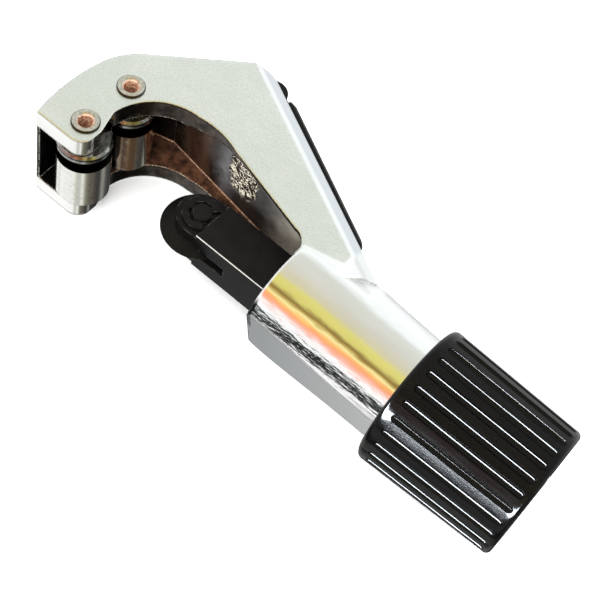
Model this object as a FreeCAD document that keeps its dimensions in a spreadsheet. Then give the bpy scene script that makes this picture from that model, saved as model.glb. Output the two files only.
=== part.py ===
import FreeCAD
import Part
import math
import os
import re
import Sketcher

# A telescoping tube cutter, lying flat: +X points from the knob to the rollers, +Y out of the
# open side of the jaw, +Z up out of the upper cheek. The origin is on the feed axis, level with
# the two roller axles and half way through the frame. All sizes are in millimetres.

SIZES = [
    # frame, seen from above
    ("plate_half", 13.4, "half the frame's thickness over its two cheeks"),
    ("top_cheek", 4.8, "thickness of the upper cheek"),
    ("low_cheek", 4.2, "thickness of the lower cheek"),
    ("tip_x", 8.8, "outer corner of the jaw's end face"),
    ("tip_y", 10.6, "plane of the jaw's end face"),
    ("nose_r", 48.5, "shallow curve of the jaw's nose"),
    ("nose_x", 9.2, "where the nose starts to turn back"),
    ("nose_y", -9.0, "where the nose starts to turn back"),
    ("brow_r", 16.0, "radius of the turn behind the nose"),
    ("brow_x", 4.1, "end of the turn behind the nose"),
    ("brow_y", -18.0, "end of the turn behind the nose"),
    ("back_x", -14.9, "start of the corner between back and spine"),
    ("back_y", -35.1, "start of the corner between back and spine"),
    ("back_r", 4.0, "radius of that corner"),
    ("spine_x", -38.5, "a point on the upper edge of the spine"),
    ("spine_y", -21.2, "a point on the upper edge of the spine"),
    ("spine_angle", 152.2, "direction of the spine from +X, towards the barrel"),
    ("spine_wall", 4.2, "spine's outer wall, out from its upper edge"),
    ("bevel_drop", 3.4, "height of the bevel over the spine's wall"),
    ("spine_start", -24.0, "start of the flat of the spine, along it"),
    ("spine_end", 22.0, "end of the flat of the spine, along it"),
    ("throat_x", -68.4, "where the spine runs into the barrel"),
    ("throat_y", -9.4, "where the spine runs into the barrel"),
    ("heel_x", -63.0, "rear corner of the cheek over the barrel"),
    ("heel_y", -3.6, "rear corner of the cheek over the barrel"),
    ("mouth_x", -52.2, "front face of the barrel"),
    ("mouth_y", -1.2, "where the cheek's edge meets the barrel's face"),
    ("corner_y", -3.2, "end of the rounded corner beside the barrel"),
    ("mouth_r", 4.2, "radius of the cheek's edge at the barrel"),
    ("ramp_x", -48.4, "start of the straight edge of the jaw"),
    ("ramp_y", -6.3, "start of the straight edge of the jaw"),
    ("bay_x", -27.0, "start of the shallow bay beside the slide"),
    ("bay_y", -12.2, "start of the shallow bay beside the slide"),
    ("bay_r", 20.0, "radius of the bay"),
    ("arch_x", -15.5, "centre of the arch that clears the largest tube"),
    ("arch_r", 13.4, "radius of that arch"),
    ("notch_x", -2.3, "end of the arch between the rollers"),
    ("notch_y", -1.0, "end of the arch between the rollers"),
    ("lip_x", -4.1, "straight edge beside the front roller"),
    ("lip_low_y", 4.9, "near end of that edge"),
    ("lip_high_y", 7.2, "far end of that edge"),
    ("lip_r", 3.4, "rounding of the jaw's inner corner"),
    ("lip_end_x", -0.8, "end of that rounding"),
    # channel between the cheeks
    ("web_tip_x", 8.0, "inner face of the web at the end face"),
    ("web_nose_x", 8.6, "inner face of the web at its thinnest"),
    ("web_nose_y", 0.0, "inner face of the web at its thinnest"),
    ("web_side_x", 7.4, "inner face of the web beside the rear roller"),
    ("web_side_y", -8.9, "inner face of the web beside the rear roller"),
    ("web_turn_r", 9.0, "turn of the web round the rear roller"),
    ("web_turn_x", 1.6, "end of that turn"),
    ("web_turn_y", -16.6, "end of that turn"),
    ("web_back_x", -6.0, "inner face of the web behind the jaw"),
    ("web_back_y", -18.8, "inner face of the web behind the jaw"),
    ("web_low_x", -38.0, "inner face of the web beside the slide"),
    ("web_low_y", -14.0, "inner face of the web beside the slide"),
    ("web_end_x", -45.5, "start of the channel's rounded end"),
    ("web_end_y", -12.8, "start of the channel's rounded end"),
    ("web_end_r", 6.8, "radius of the channel's rounded end"),
    ("roof_front_x", -13.0, "where the upper cheek's underside starts to rise"),
    ("roof_rear_x", -29.0, "where it ends rising, towards the barrel"),
    ("roof_z", 12.3, "underside of the upper cheek there"),
    ("web_mouth_y", -6.2, "end of the channel at the barrel's face"),
    # barrel
    ("barrel_rim", 0.8, "rounding of the barrel's mouth"),
    ("barrel_front_r", 13.9, "radius of the barrel at its mouth"),
    ("barrel_front_y", -0.3, "centre of the barrel's outside at its mouth"),
    ("barrel_heel_x", -63.0, "section beside the heel of the cheeks"),
    ("barrel_heel_r", 13.9, "radius of that section"),
    ("barrel_heel_y", -0.4, "centre of that section"),
    ("barrel_waist_x", -71.0, "section behind the end of the spine"),
    ("barrel_waist_r", 13.35, "radius of that section"),
    ("barrel_waist_y", -0.3, "centre of that section"),
    ("barrel_round_x", -80.0, "section in front of the knob"),
    ("barrel_round_r", 12.93, "radius of that section"),
    ("barrel_round_y", -0.12, "centre of that section"),
    ("barrel_rear_x", -88.0, "end of the barrel's taper"),
    ("barrel_rear_r", 12.6, "radius of the barrel where the knob starts"),
    ("tail_r", 12.3, "radius of the barrel inside the knob"),
    ("flank_tilt", -14.0, "direction that the barrel's flat flank faces, from +Y"),
    ("flank_yaw", 1.2, "how far the flank opens towards the knob"),
    ("flank_out", 10.5, "distance of the flank from the feed axis at the mouth"),
    ("flank_block", 60.0, "size of the block that planes the flank"),
    ("flank_depth", 20.0, "depth of that block"),
    ("flank_lead", 2.0, "how far the block starts ahead of the mouth"),
    ("barrel_end_x", -105.0, "rear face of the barrel"),
    ("guide_side", 11.0, "square bore that guides the slide"),
    ("guide_end_x", -92.0, "end of the square bore"),
    ("bush_r", 8.5, "round bore for the rear bushing"),
    # rollers and their tubular rivets
    ("front_roller_y", 5.2, "front roller's axis, across the feed axis"),
    ("rear_roller_y", -8.7, "rear roller's axis, across the feed axis"),
    ("roller_r", 6.1, "radius of a roller"),
    ("roller_play", 0.2, "gap between a roller's end and a cheek"),
    ("roller_edge", 0.5, "chamfer at a roller's ends"),
    ("flare_low_z", 3.45, "lower edge of the groove that clears a flared tube"),
    ("flare_high_z", 6.6, "upper edge of that groove"),
    ("flare_r", 4.7, "radius at the bottom of that groove"),
    ("rivet_r", 2.4, "radius of a rivet's shank"),
    ("rivet_bore_r", 1.62, "radius of the hole through a rivet"),
    ("rivet_head_r", 3.15, "radius of a rivet's rolled head"),
    ("rivet_head", 0.55, "height of that head above the upper cheek"),
    ("rivet_sink_r", 3.4, "counterbore that hides the lower head"),
    ("rivet_sink", 0.7, "depth of that counterbore"),
    ("running_gap", 0.05, "radial clearance of everything that turns on a pin"),
    # slide
    ("slide_side", 10.8, "side of the square slide"),
    ("slide_rear_x", -82.0, "rear end of the slide"),
    ("slide_edge", 0.35, "chamfer along the slide's edges"),
    ("slot_half", 1.25, "half the height of the slot for the wheel"),
    ("slot_depth", 11.4, "length of the slot behind the wheel's axis"),
    ("recess_depth", 0.9, "step down of the fork's faces round the wheel pin"),
    ("recess_step", 3.1, "distance of that step behind the wheel's axis"),
    ("screw_bore_r", 4.1, "threaded bore in the slide, at the thread's crests"),
    ("screw_bore", 34.0, "depth of that bore"),
    # cutter wheel and its pin
    ("wheel_x", -29.3, "wheel's axis with the jaw part open"),
    ("wheel_r", 8.5, "radius of the cutting edge"),
    ("wheel_hub_r", 5.6, "radius of the wheel's flat hub"),
    ("wheel_half", 1.1, "half the thickness of the hub"),
    ("wheel_edge", 0.06, "half the width of the cutting edge"),
    ("pin_r", 2.3, "radius of the wheel pin"),
    ("pin_play", 0.03, "radial clearance of the pin in the fork"),
    ("pin_head_r", 3.0, "radius of the pin's head"),
    ("pin_top_z", 5.9, "top of the pin"),
    ("pin_edge", 0.35, "chamfer at the pin's end"),
    ("clip_r", 4.3, "outside radius of the retaining clip"),
    ("clip_ring_r", 2.9, "inside radius of the clip's relief pockets"),
    ("clip_seat_r", 1.8, "radius that the clip grips the pin on"),
    ("clip_low_z", 4.6, "underside of the clip"),
    ("clip_thick", 0.6, "thickness of the clip"),
    # feed screw and its bearing
    ("thread_r", 4.0, "radius of the thread's crests"),
    ("thread_root_r", 3.25, "radius of the thread's roots"),
    ("thread_pitch", 1.5, "pitch of the left-hand thread"),
    ("screw_front_x", -58.0, "front end of the feed screw"),
    ("thread_end_x", -90.5, "end of the thread"),
    ("collar_x", -92.5, "front face of the screw's collar"),
    ("collar_r", 6.5, "radius of the collar"),
    ("collar_end_x", -94.5, "rear face of the collar"),
    ("journal_r", 3.5, "radius of the screw's journal"),
    ("drive_x", -106.3, "start of the square that drives the screw"),
    ("drive_side", 4.9, "side of that square"),
    ("screw_end_x", -113.5, "rear end of the feed screw"),
    ("tap_r", 2.0, "tapped hole in the end of the feed screw"),
    ("tap_depth", 8.0, "depth of that hole"),
    ("thrust_front_x", -94.6, "front face of the thrust washer"),
    ("thrust_rear_x", -95.5, "rear face of the thrust washer"),
    ("thrust_r", 7.6, "radius of the thrust washer"),
    ("bushing_x", -95.6, "front face of the rear bushing"),
    ("set_screw_x", -100.0, "axis of the set screw that locks the bushing"),
    ("set_screw_r", 1.5, "radius of the set screw"),
    ("set_screw_seat", 1.0, "depth of the dimple that it seats in"),
    ("set_screw_socket", 1.5, "width across the set screw's square socket"),
    ("friction_front_x", -105.1, "front face of the friction washer"),
    ("friction_rear_x", -106.2, "rear face of the friction washer"),
    ("friction_r", 6.6, "radius of the friction washer"),
    # knob
    ("knob_front_x", -86.5, "front face of the knob"),
    ("knob_rear_x", -119.8, "rear face of the knob"),
    ("knob_front_r", 16.4, "radius at the front of the knob"),
    ("knob_rear_r", 15.45, "radius at the rear of the knob"),
    ("knob_rim_r", 1.3, "rounding of the knob's two rims"),
    ("skirt_r", 13.1, "bore of the knob's skirt round the barrel"),
    ("hub_x", -106.3, "front face of the knob's hub"),
    ("insert_r", 7.0, "radius of the metal insert"),
    ("insert_flange_r", 9.0, "radius of the insert's flange"),
    ("insert_flange_x", -108.3, "rear face of that flange"),
    ("well_x", -114.8, "bottom of the well for the knob screw"),
    ("well_r", 9.0, "radius of that well"),
    ("cap_x", -117.4, "front face of the cap"),
    ("cap_r", 12.2, "radius of the cap"),
    ("cap_rear_x", -119.4, "rear face of the cap"),
    ("flute_count", 27, "number of flutes round the knob"),
    ("flute_r", 0.95, "radius of a flute's section"),
    ("flute_lift", 0.22, "height of a flute's axis over the knob's surface"),
    ("flute_front_x", -90.0, "centre of a flute's round front end"),
    ("flute_rear_x", -117.6, "centre of a flute's round rear end"),
    ("washer_r", 4.8, "radius of the washer under the knob screw"),
    ("washer_x", -115.6, "rear face of that washer"),
    ("head_r", 3.6, "radius of the knob screw's head"),
    ("head_x", -117.2, "rear face of that head"),
    ("cross_width", 0.8, "width of the cross in the knob screw's head"),
    ("cross_length", 4.2, "length of that cross"),
    ("cross_depth", 0.9, "depth of that cross"),
    # reamer
    ("pivot_along", -23.0, "reamer's hinge, along the spine"),
    ("pivot_out", 2.8, "reamer's hinge, out from the spine's upper edge"),
    ("knuckle_r", 3.7, "radius of the reamer's knuckle"),
    ("reamer_half", 8.0, "half the width of the reamer"),
    ("reamer_tip_half", 7.2, "half the width of the reamer at its end"),
    ("reamer_in", 4.8, "inner face of the reamer's leaf"),
    ("reamer_out", 6.95, "outer face of the reamer's leaf"),
    ("leaf_start", -20.1, "start of the leaf, along the spine"),
    ("leaf_end", 20.6, "end of the leaf, along the spine"),
    ("neck_half", 5.2, "half the width of the neck between knuckle and leaf"),
    ("neck_end", -17.0, "end of the neck"),
    ("reamer_bevel", 0.8, "bevel of the reamer's scraping edges"),
    ("reamer_pin_r", 1.0, "radius of the reamer's pin"),
    ("reamer_pin_half", 10.2, "half the length of that pin"),
    ("recess_floor", -2.0, "floor of the corner recess that the knuckle turns in"),
    ("recess_half", 8.35, "half the width of that recess"),
    ("recess_end", -18.9, "end of that recess, along the spine"),
    ("recess_start", -40.0, "open end of that recess"),
]

ALIASES = {alias for alias, number, meaning in SIZES}
UP = FreeCAD.Vector(0, 0, 1)
ALONG_X = FreeCAD.Rotation(FreeCAD.Vector(0, 1, 0), 90)
YZ_TURN = FreeCAD.Rotation(0.5, 0.5, 0.5, 0.5)
XZ_TURN = FreeCAD.Rotation(FreeCAD.Vector(1, 0, 0), 90)
OVERRUN = "2"

doc = FreeCAD.newDocument("tube_cutter")


# ---- helpers ---------------------------------------------------------------------------------

def make_sheet():
    """Put every driving size in the spreadsheet, each with its alias."""
    sheet = doc.addObject("Spreadsheet::Sheet", "dims")
    for row, (alias, number, meaning) in enumerate(SIZES, start=1):
        sheet.set(f"A{row}", alias)
        sheet.set(f"B{row}", str(number))
        sheet.set(f"C{row}", meaning)
        sheet.setAlias(f"B{row}", alias)
    doc.recompute()


def bound(expression):
    """The expression with each size's name turned into its cell."""
    return re.sub(r"[A-Za-z_]\w*", lambda word: cell(word.group()), expression)


def cell(word):
    return f"dims.{word}" if word in ALIASES else word


def value(holder, expression):
    """The number that an expression has now."""
    return float(holder.evalExpression(bound(expression)))


def bind(holder, sizes):
    """Bind an object's properties to expressions of the sheet."""
    for name, expression in sizes.items():
        holder.setExpression(name, bound(expression))


def place(holder, x="0", y="0", z="0", turn=None):
    """Place an object, bound to the sheet."""
    if turn:
        holder.Placement = FreeCAD.Placement(FreeCAD.Vector(), turn)
    bind(holder, {"Placement.Base.x": x, "Placement.Base.y": y, "Placement.Base.z": z})


def arc_between(start, end, radius):
    """The short arc from start to end; its centre is on the left where radius is positive."""
    chord = end - start
    half = chord.Length / 2
    left = FreeCAD.Vector(-chord.y, chord.x, 0).normalize()
    rise = math.sqrt(radius * radius - half * half)
    centre = start + chord * 0.5 + left * math.copysign(rise, radius)
    first, last = (start, end) if radius > 0 else (end, start)
    angles = [math.atan2(spot.y - centre.y, spot.x - centre.x) for spot in (first, last)]
    return Part.ArcOfCircle(Part.Circle(centre, UP, abs(radius)), angles[0], angles[1])


def fix_point(sketch, piece, end, x, y):
    """Hold one end of a sketch line where the sheet says."""
    for kind, expression, axis in (("DistanceX", x, -2), ("DistanceY", y, -1)):
        number = value(sketch, expression)
        if abs(number) < 1e-9:
            sketch.addConstraint(Sketcher.Constraint("PointOnObject", piece, end, axis))
            continue
        index = sketch.addConstraint(Sketcher.Constraint(kind, piece, end, number))
        sketch.setExpression(f"Constraints[{index}]", bound(expression))


def trace(sketch, corners):
    """Close an outline through its corners, each (x, y) or (x, y, radius of the arc that leaves it)."""
    spots = [FreeCAD.Vector(value(sketch, item[0]), value(sketch, item[1]), 0) for item in corners]
    ends = []
    for index, corner in enumerate(corners):
        start = spots[index]
        end = spots[(index + 1) % len(spots)]
        if len(corner) == 2:
            piece = sketch.addGeometry(Part.LineSegment(start, end), False)
            ends.append((piece, 1, 2))
            continue
        radius = value(sketch, corner[2])
        piece = sketch.addGeometry(arc_between(start, end, radius), False)
        ends.append((piece, 1, 2) if radius > 0 else (piece, 2, 1))
    for index, (piece, leaving, arriving) in enumerate(ends):
        before = ends[index - 1]
        sketch.addConstraint(Sketcher.Constraint("Coincident", before[0], before[2], piece, leaving))
        fix_point(sketch, piece, leaving, corners[index][0], corners[index][1])
        if len(corners[index]) == 3:
            radius = value(sketch, corners[index][2])
            rule = sketch.addConstraint(Sketcher.Constraint("Radius", piece, abs(radius)))
            sketch.setExpression(f"Constraints[{rule}]", bound(f"abs({corners[index][2]})"))


def ring(sketch, radius, x="0", y="0"):
    """A circle in a sketch."""
    centre = FreeCAD.Vector(value(sketch, x), value(sketch, y), 0)
    piece = sketch.addGeometry(Part.Circle(centre, UP, value(sketch, radius)), False)
    fix_point(sketch, piece, 3, x, y)
    rule = sketch.addConstraint(Sketcher.Constraint("Radius", piece, value(sketch, radius)))
    sketch.setExpression(f"Constraints[{rule}]", bound(radius))


def box_corners(low_x, high_x, low_y, high_y):
    """The four corners of a rectangle."""
    return [(low_x, low_y), (high_x, low_y), (high_x, high_y), (low_x, high_y)]


def new_body(label):
    return doc.addObject("PartDesign::Body", label)


def sketch_in(body, name, role, offset="0"):
    """A sketch on one of a body's own planes, or parallel to it."""
    sketch = body.newObject("Sketcher::SketchObject", name)
    plane = next(item for item in body.Origin.OriginFeatures if item.Role == role)
    sketch.AttachmentSupport = [(plane, "")]
    sketch.MapMode = "FlatFace"
    if offset != "0":
        sketch.setExpression("AttachmentOffset.Base.z", bound(offset))
        doc.recompute()
    return sketch


def feature(body, kind, name, sketch, sizes=None, **settings):
    """A feature made from a sketch, checked for having changed the body's volume."""
    before = body.Shape.Volume if body.Tip else 0.0
    item = body.newObject(kind, name)
    item.Profile = sketch
    for setting, choice in settings.items():
        setattr(item, setting, choice)
    bind(item, sizes or {})
    sketch.Visibility = False
    doc.recompute()
    if abs(body.Shape.Volume - before) < 1e-6:
        raise RuntimeError(f"{name} changed nothing")
    return item


def turned(label, axis, corners):
    """A turned piece about X or Z, from corners of (along the axis, radius)."""
    body = new_body(label)
    if axis == "X":
        sketch = sketch_in(body, f"{label}_profile", "XY_Plane")
        trace(sketch, corners)
        reference = "H_Axis"
    else:
        sketch = sketch_in(body, f"{label}_profile", "XZ_Plane")
        trace(sketch, [flipped(corner) for corner in corners])
        reference = "V_Axis"
    feature(body, "PartDesign::Revolution", f"{label}_turning", sketch,
            ReferenceAxis=(sketch, [reference]), Angle=360)
    return body


def flipped(corner):
    """A corner of (along, radius) as (radius, along), with its arc turned over."""
    if len(corner) == 2:
        return corner[1], corner[0]
    return corner[1], corner[0], f"-({corner[2]})"


def washer(label, front, rear, outer, bore):
    """A flat washer about the feed axis."""
    return turned(label, "X", [(front, bore), (front, outer), (rear, outer), (rear, bore)])


def primitive(kind, name, sizes, x="0", y="0", z="0", turn=None):
    """A Part primitive with its sizes and place bound to the sheet."""
    item = doc.addObject(kind, name)
    bind(item, sizes)
    place(item, x, y, z, turn)
    return item


def prism(name, corners, forward, backward, turn=None):
    """An outline in a plane of its own, extruded both ways along that plane's normal."""
    sketch = doc.addObject("Sketcher::SketchObject", f"{name}_outline")
    trace(sketch, corners)
    if turn:
        sketch.Placement = FreeCAD.Placement(FreeCAD.Vector(), turn)
    item = doc.addObject("Part::Extrusion", name)
    item.Base = sketch
    item.DirMode = "Custom"
    item.Dir = turn.multVec(UP) if turn else UP
    item.Solid = True
    bind(item, {"LengthFwd": forward, "LengthRev": backward})
    return item


def on_spine(item):
    """Move a piece drawn along X, with Y outwards, onto the spine."""
    item.Placement = FreeCAD.Placement(FreeCAD.Vector(), FreeCAD.Rotation(UP, 1))
    bind(item, {
        "Placement.Base.x": "spine_x",
        "Placement.Base.y": "spine_y",
        "Placement.Rotation.Angle": "spine_angle",
    })


def cut(name, base, tool):
    item = doc.addObject("Part::Cut", name)
    item.Base = base
    item.Tool = tool
    return item


def fuse(name, shapes):
    item = doc.addObject("Part::MultiFuse", name)
    item.Shapes = shapes
    return item


def spine_point(along, out):
    """The place of a point on the spine, as expressions for X and Y."""
    x = f"(spine_x + ({along}) * cos(spine_angle) - ({out}) * sin(spine_angle))"
    y = f"(spine_y + ({along}) * sin(spine_angle) + ({out}) * cos(spine_angle))"
    return x, y


# ---- frame -----------------------------------------------------------------------------------

def frame_blank():
    """The C-shaped casting as one plate, before its channel is cut."""
    wall_start = spine_point("spine_start", "spine_wall")
    wall_end = spine_point("spine_end", "spine_wall")
    corners = [
        ("tip_x", "tip_y", "-nose_r"),
        ("nose_x", "nose_y", "-brow_r"),
        ("brow_x", "brow_y"),
        ("back_x", "back_y", "-back_r"),
        wall_start,
        wall_end,
        ("throat_x", "throat_y"),
        ("heel_x", "heel_y"),
        ("mouth_x", "mouth_y"),
        ("mouth_x", "corner_y", "mouth_r"),
        ("ramp_x", "ramp_y"),
        ("bay_x", "bay_y", "bay_r"),
        ("arch_x", "-arch_r", "arch_r"),
        ("notch_x", "notch_y"),
        ("lip_x", "lip_low_y"),
        ("lip_x", "lip_high_y", "-lip_r"),
        ("lip_end_x", "tip_y"),
    ]
    return prism("plate", corners, "plate_half", "plate_half")


def channel_corners():
    """The outline of the space between the cheeks, open to the jaw and at the end face."""
    far_y = f"tip_y + {OVERRUN}"
    return [
        ("web_tip_x", far_y),
        ("web_tip_x", "tip_y"),
        ("web_nose_x", "web_nose_y"),
        ("web_side_x", "web_side_y", "-web_turn_r"),
        ("web_turn_x", "web_turn_y"),
        ("web_back_x", "web_back_y"),
        ("web_low_x", "web_low_y"),
        ("web_end_x", "web_end_y", "-web_end_r"),
        ("mouth_x", "web_mouth_y"),
        ("mouth_x", far_y),
    ]


def frame_channel():
    """The space between the cheeks, with a roof that rises along the jaw's straight edge."""
    channel = prism("channel", channel_corners(), "plate_half - top_cheek", "plate_half - low_cheek")
    outline = prism("roof_outline", channel_corners(), "plate_half", "0")
    profile = prism("roof_profile", [
        ("roof_front_x", "0"),
        ("roof_front_x", "plate_half - top_cheek"),
        ("roof_rear_x", "roof_z"),
        ("mouth_x", "roof_z"),
        ("mouth_x", "0"),
    ], "40", "20", turn=XZ_TURN)
    roof = doc.addObject("Part::Common", "roof")
    roof.Base = outline
    roof.Tool = profile
    return fuse("channel_space", [channel, roof])


def spine_bevels():
    """The two wedges that bevel the spine's upper and lower edges."""
    reach = f"spine_wall + {OVERRUN}"
    fall = f"bevel_drop * ({reach}) / spine_wall"
    wedges = []
    for name, side in (("upper_bevel", "1"), ("lower_bevel", "-1")):
        high = f"{side} * plate_half"
        corners = [("0", high), (reach, high), (reach, f"{side} * (plate_half - {fall})")]
        wedge = prism(name, corners, "60", "60", turn=YZ_TURN)
        on_spine(wedge)
        wedges.append(wedge)
    return wedges


def knuckle_recess():
    """The recess in the spine's corner that the reamer's knuckle turns in."""
    corners = box_corners("recess_start", "recess_end", "recess_floor", f"spine_wall + {OVERRUN}")
    recess = prism("knuckle_recess", corners, "recess_half", "recess_half")
    on_spine(recess)
    return recess


def barrel_section(name, x, y, radius):
    """One round section of the barrel's outside."""
    sketch = doc.addObject("Sketcher::SketchObject", name)
    ring(sketch, radius)
    place(sketch, x, y, turn=YZ_TURN)
    return sketch


def lofted(name, sections, ruled):
    item = doc.addObject("Part::Loft", name)
    item.Sections = sections
    item.Solid = True
    item.Ruled = ruled
    return item


def flank():
    """The block that planes the flat flank off the barrel."""
    block = doc.addObject("Part::Box", "flank_block")
    bind(block, {"Length": "flank_block", "Width": "flank_depth", "Height": "flank_block"})
    tilt = FreeCAD.Rotation(FreeCAD.Vector(1, 0, 0), value(block, "flank_tilt"))
    yaw = FreeCAD.Rotation(UP, value(block, "-flank_yaw"))
    front = FreeCAD.Vector(value(block, "mouth_x"), 0, 0)
    corner = FreeCAD.Vector(
        value(block, "flank_lead - flank_block"),
        value(block, "flank_out"),
        value(block, "-flank_block / 2"),
    )
    block.Placement = FreeCAD.Placement(front, tilt * yaw) * FreeCAD.Placement(corner, FreeCAD.Rotation())
    return block


def barrel():
    """The barrel: a rounded mouth, a round body that tapers to the knob, and one flat flank."""
    rim = "barrel_rim"
    mouth = [
        barrel_section("mouth_edge", "mouth_x", "barrel_front_y", f"barrel_front_r - {rim}"),
        barrel_section("mouth_round", f"mouth_x - 0.3 * {rim}", "barrel_front_y",
                       f"barrel_front_r - 0.3 * {rim}"),
        barrel_section("mouth_side", f"mouth_x - {rim}", "barrel_front_y", "barrel_front_r"),
    ]
    taper = [
        barrel_section("taper_front", f"mouth_x - {rim}", "barrel_front_y", "barrel_front_r"),
        barrel_section("taper_heel", "barrel_heel_x", "barrel_heel_y", "barrel_heel_r"),
        barrel_section("taper_waist", "barrel_waist_x", "barrel_waist_y", "barrel_waist_r"),
        barrel_section("taper_round", "barrel_round_x", "barrel_round_y", "barrel_round_r"),
        barrel_section("taper_rear", "barrel_rear_x", "0", "barrel_rear_r"),
    ]
    tail = primitive("Part::Cylinder", "barrel_tail",
                     {"Radius": "tail_r", "Height": "barrel_rear_x - barrel_end_x"},
                     x="barrel_end_x", turn=ALONG_X)
    lofts = [lofted("mouth_loft", mouth, True), lofted("taper_loft", taper, False)]
    round_body = fuse("round_body", lofts + [tail])
    return cut("barrel_solid", round_body, flank())


def frame_bores():
    """Everything that is bored through the casting."""
    guide = primitive("Part::Box", "guide_bore",
                      {"Length": f"mouth_x - guide_end_x + {OVERRUN}", "Width": "guide_side",
                       "Height": "guide_side"},
                      x="guide_end_x", y="-guide_side / 2", z="-guide_side / 2")
    bush = primitive("Part::Cylinder", "bush_bore",
                     {"Radius": "bush_r", "Height": "guide_end_x - barrel_end_x"},
                     x="barrel_end_x", turn=ALONG_X)
    lock = primitive("Part::Cylinder", "set_screw_bore",
                     {"Radius": "set_screw_r", "Height": "barrel_front_r"}, x="set_screw_x")
    pivot = spine_point("pivot_along", "pivot_out")
    hinge = primitive("Part::Cylinder", "reamer_pin_bore",
                      {"Radius": "reamer_pin_r", "Height": "2 * reamer_pin_half"},
                      x=pivot[0], y=pivot[1], z="-reamer_pin_half")
    bores = [guide, bush, lock, hinge]
    for roller in ("front_roller", "rear_roller"):
        bores.append(primitive("Part::Cylinder", f"{roller}_bore",
                               {"Radius": "rivet_r", "Height": "2 * plate_half"},
                               y=f"{roller}_y", z="-plate_half"))
        bores.append(primitive("Part::Cylinder", f"{roller}_sink",
                               {"Radius": "rivet_sink_r", "Height": "rivet_sink"},
                               y=f"{roller}_y", z="-plate_half"))
    return fuse("bores", bores)


def make_frame():
    """The die-cast frame: two cheeks, the web between them, and the barrel."""
    tools = fuse("plate_tools", [frame_channel(), knuckle_recess()] + spine_bevels())
    cheeks = cut("cheeks", frame_blank(), tools)
    casting = fuse("casting", [cheeks, barrel()])
    return cut("frame", casting, frame_bores())


# ---- rollers, rivets and reamer --------------------------------------------------------------

def make_roller(name):
    """A roller with the deep groove that lets a flare be cut off close to its end."""
    low = "low_cheek - plate_half + roller_play"
    high = "plate_half - top_cheek - roller_play"
    bore = "rivet_r + running_gap"
    body = turned(name, "Z", [
        (low, bore),
        (low, "roller_r - roller_edge"),
        (f"{low} + roller_edge", "roller_r"),
        ("flare_low_z", "roller_r"),
        ("flare_low_z + 0.3", "flare_r"),
        ("flare_high_z - 0.3", "flare_r"),
        ("flare_high_z", "roller_r"),
        (f"{high} - roller_edge", "roller_r"),
        (high, "roller_r - roller_edge"),
        (high, bore),
    ])
    place(body, y=f"{name}_y")
    return body


def make_rivet(roller):
    """The tubular rivet that a roller turns on, rolled over at both ends."""
    foot = "rivet_sink - plate_half"
    body = turned(f"{roller}_rivet", "Z", [
        (f"{foot} - 0.5", "rivet_bore_r + 0.3"),
        (f"{foot} - 0.5", "rivet_head_r - 0.3"),
        (f"{foot} - 0.2", "rivet_head_r"),
        (foot, "rivet_head_r"),
        (foot, "rivet_r"),
        ("plate_half", "rivet_r"),
        ("plate_half", "rivet_head_r"),
        ("plate_half + rivet_head / 2", "rivet_head_r"),
        ("plate_half + rivet_head", "rivet_head_r - rivet_head / 2"),
        ("plate_half + rivet_head", "rivet_bore_r + rivet_head"),
        ("plate_half", "rivet_bore_r"),
        (f"{foot} - 0.2", "rivet_bore_r"),
    ])
    place(body, y=f"{roller}_y")
    return body


def make_reamer_blade():
    """The folding reamer: a knuckle on the hinge pin, a neck and a bevelled scraper leaf."""
    knuckle = primitive("Part::Cylinder", "knuckle",
                        {"Radius": "knuckle_r", "Height": "2 * reamer_half"},
                        x="pivot_along", y="pivot_out", z="-reamer_half")
    neck = primitive("Part::Box", "neck",
                     {"Length": "neck_end - pivot_along", "Width": "reamer_out - reamer_in - 0.3",
                      "Height": "2 * neck_half"},
                     x="pivot_along", y="reamer_in", z="-neck_half")
    edge = "reamer_bevel"
    leaf = doc.addObject("Part::Loft", "leaf")
    leaf.Sections = [leaf_section("leaf_inner", "0"), leaf_section("leaf_middle", "0"),
                     leaf_section("leaf_outer", edge)]
    bind(leaf.Sections[0], {"Placement.Base.y": "reamer_in"})
    bind(leaf.Sections[1], {"Placement.Base.y": f"reamer_out - {edge}"})
    bind(leaf.Sections[2], {"Placement.Base.y": "reamer_out"})
    leaf.Solid = True
    leaf.Ruled = True
    bore = primitive("Part::Cylinder", "knuckle_bore",
                     {"Radius": "reamer_pin_r + running_gap", "Height": "2 * reamer_half"},
                     x="pivot_along", y="pivot_out", z="-reamer_half")
    blade = cut("reamer_blade", fuse("reamer_solid", [knuckle, neck, leaf]), bore)
    on_spine(blade)
    return blade


def leaf_section(name, inset):
    """The leaf's outline across the spine, drawn in by its bevel."""
    sketch = doc.addObject("Sketcher::SketchObject", name)
    start = f"leaf_start + {inset}"
    end = f"leaf_end - {inset}"
    corner = "1.5"
    half = f"(reamer_half - {inset})"
    tip = f"(reamer_tip_half - {inset})"
    trace(sketch, [
        (start, f"{half} - {corner}", f"-{corner} * 1.01"),
        (f"{start} + {corner}", half),
        (f"{end} - {corner}", tip, f"-{corner} * 1.01"),
        (end, f"{tip} - {corner}"),
        (end, f"{corner} - {tip}", f"-{corner} * 1.01"),
        (f"{end} - {corner}", f"-{tip}"),
        (f"{start} + {corner}", f"-{half}", f"-{corner} * 1.01"),
        (start, f"{corner} - {half}"),
    ])
    sketch.Placement = FreeCAD.Placement(FreeCAD.Vector(), FreeCAD.Rotation(FreeCAD.Vector(1, 0, 0), 90))
    return sketch


def make_reamer_pin():
    """The pin that the reamer folds on, held in the frame at both ends."""
    body = turned("reamer_pin", "Z", [
        ("-reamer_pin_half", "0"),
        ("-reamer_pin_half", "reamer_pin_r"),
        ("reamer_pin_half", "reamer_pin_r"),
        ("reamer_pin_half", "0"),
    ])
    pivot = spine_point("pivot_along", "pivot_out")
    place(body, x=pivot[0], y=pivot[1])
    return body


# ---- slide and cutter wheel ------------------------------------------------------------------

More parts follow.
